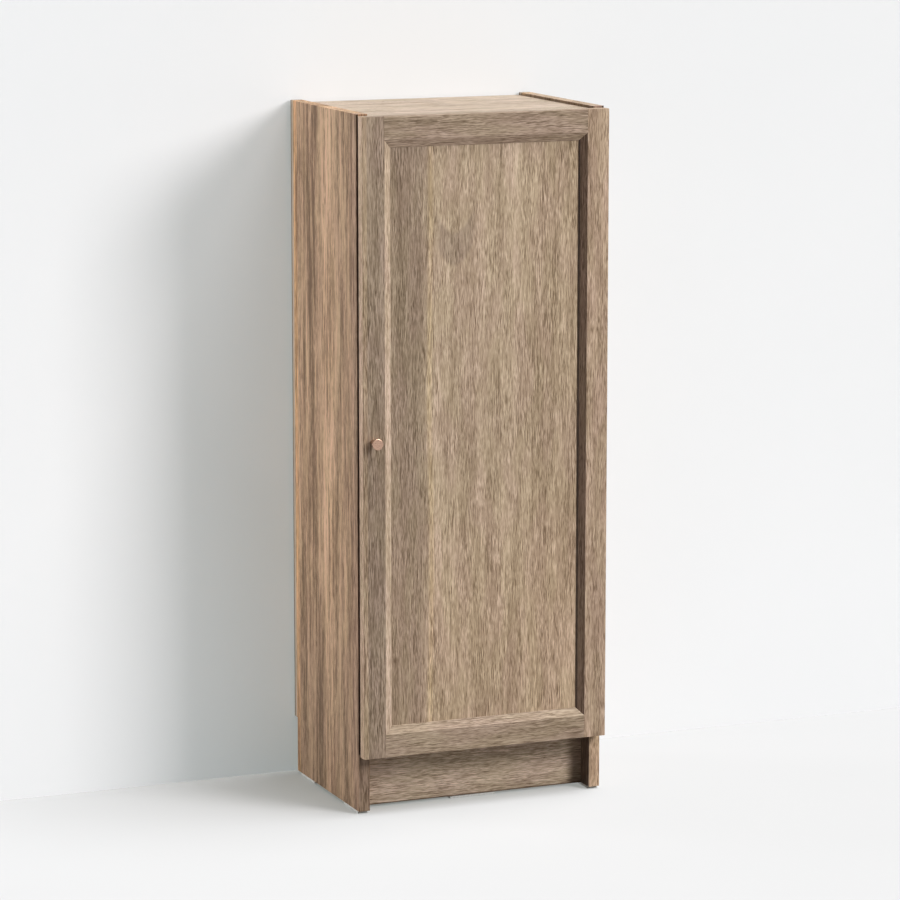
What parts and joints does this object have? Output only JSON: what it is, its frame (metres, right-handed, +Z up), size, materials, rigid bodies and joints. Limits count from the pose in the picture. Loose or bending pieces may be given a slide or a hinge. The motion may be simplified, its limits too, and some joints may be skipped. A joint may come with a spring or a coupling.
{
  "type": "cabinet",
  "caption": "Narrow floor-standing cabinet with a framed single door on concealed hinges, a small knob, a recessed plinth and loose shelves inside.",
  "frame": {"origin": "on the floor, below the middle of the whole object's box, knob included", "axes": "+Z up, the door faces -Y, +X to the right for someone who looks at the door"},
  "size_m": [0.4, 0.322, 1.06],
  "materials": {
    "carcass_foil": "matt oak-grain foil",
    "door_foil": "matt oak-grain foil with a brushed grain",
    "back_board": "painted hardboard",
    "dowel_wood": "raw beech",
    "glide_plastic": "moulded",
    "bumper_rubber": "soft, half clear",
    "steel": "zinc plated",
    "knob_metal": "satin copper tone"
  },
  "bodies": {
    "root": {"left_side_panel": "carcass_foil", "right_side_panel": "carcass_foil", "top_panel": "carcass_foil", "bottom_shelf": "carcass_foil", "plinth_board": "carcass_foil", "back_panel": "back_board", "back_panel_nails": "steel", "left_floor_glides": "glide_plastic", "right_floor_glides": "glide_plastic", "plinth_support_pad": "glide_plastic", "lower_shelf": "carcass_foil", "upper_shelf": "carcass_foil", "lower_shelf_pins": "steel", "upper_shelf_pins": "steel", "top_cam_locks": "steel", "bottom_cam_locks": "steel", "top_cam_bolts": "steel", "bottom_cam_bolts": "steel", "top_dowels": "dowel_wood", "bottom_dowels": "dowel_wood", "plinth_dowels": "dowel_wood", "lower_hinge_arm": "steel", "lower_hinge_plate": "steel", "upper_hinge_arm": "steel", "upper_hinge_plate": "steel", "hinge_plate_screws": "steel", "hinge_arm_screws": "steel"},
    "door": {"door_left_stile": "door_foil", "door_right_stile": "door_foil", "door_top_rail": "door_foil", "door_bottom_rail": "door_foil", "door_centre_panel": "door_foil", "door_frame_dowels": "dowel_wood", "door_bumpers": "bumper_rubber", "door_knob": "knob_metal", "knob_screw": "steel", "lower_hinge_cup": "steel", "lower_hinge_pin": "steel", "upper_hinge_cup": "steel", "upper_hinge_pin": "steel", "hinge_cup_screws": "steel"}
  },
  "joints": [
    {"name": "door_swing", "type": "hinge", "parent": "root", "child": "door", "pos_m": [0.1911, -0.1305, 0.57375], "axis": [0, 0, 1], "range_deg": [0, 95]}
  ]
}
